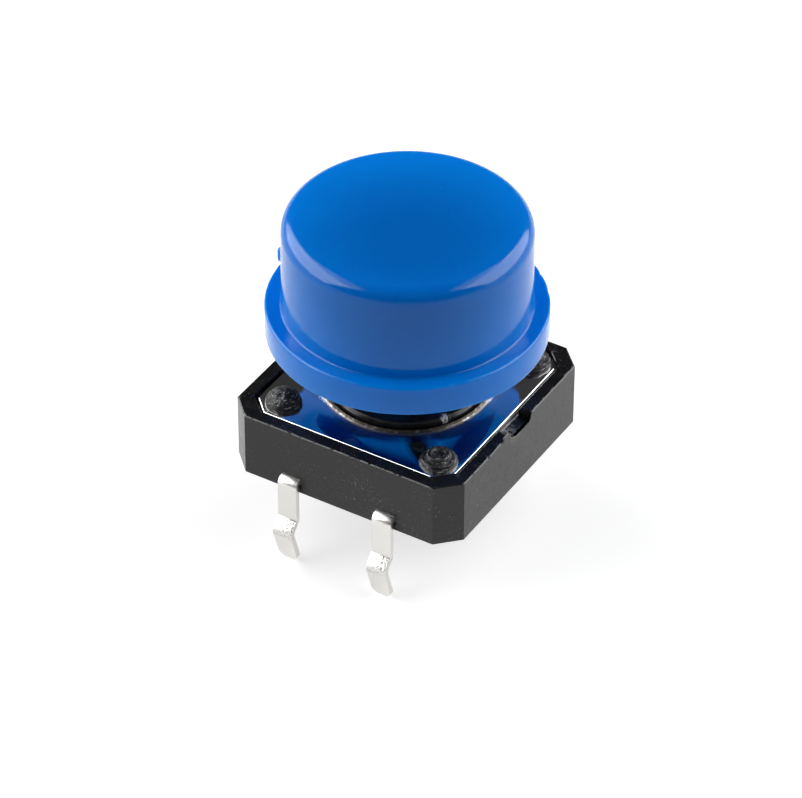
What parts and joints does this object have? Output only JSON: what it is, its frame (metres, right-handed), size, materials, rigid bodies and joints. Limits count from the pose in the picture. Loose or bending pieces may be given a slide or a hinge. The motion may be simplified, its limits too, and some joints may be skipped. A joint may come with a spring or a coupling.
{
  "type": "tactile push button switch",
  "caption": "Square through-hole tactile switch with a round push-on cap: pressing the cap drives a sprung plunger onto a snap dome that joins two lead frames.",
  "frame": {"origin": "on the plunger's axis, in the plane of the base's underside, where the switch seats on its circuit board", "axes": "+Z along the plunger, away from the board; the legs leave the base's -Y and +Y faces; +X is the side with the dip in the rim"},
  "size_m": [0.0137, 0.0138, 0.0163],
  "materials": {
    "cap_plastic": "glossy moulded blue",
    "base_plastic": "black filled resin, satin, slightly dusty",
    "plunger_plastic": "black satin moulding",
    "plate_metal": "bright rolled sheet",
    "dome_metal": "bright spring steel",
    "terminal_metal": "silver-plated, soft white"
  },
  "bodies": {
    "housing": {"base": "base_plastic", "cover_plate": "plate_metal", "snap_dome": "dome_metal", "terminal_left": "terminal_metal", "terminal_right": "terminal_metal"},
    "button": {"cap": "cap_plastic", "plunger": "plunger_plastic"}
  },
  "joints": [
    {"name": "button_press", "type": "slide", "parent": "housing", "child": "button", "axis": [0, 0, -1], "range_m": [0, 0.0003], "stiffness_N_per_m": 4000, "springref_m": -0.0001, "deforming": ["snap_dome"]}
  ]
}
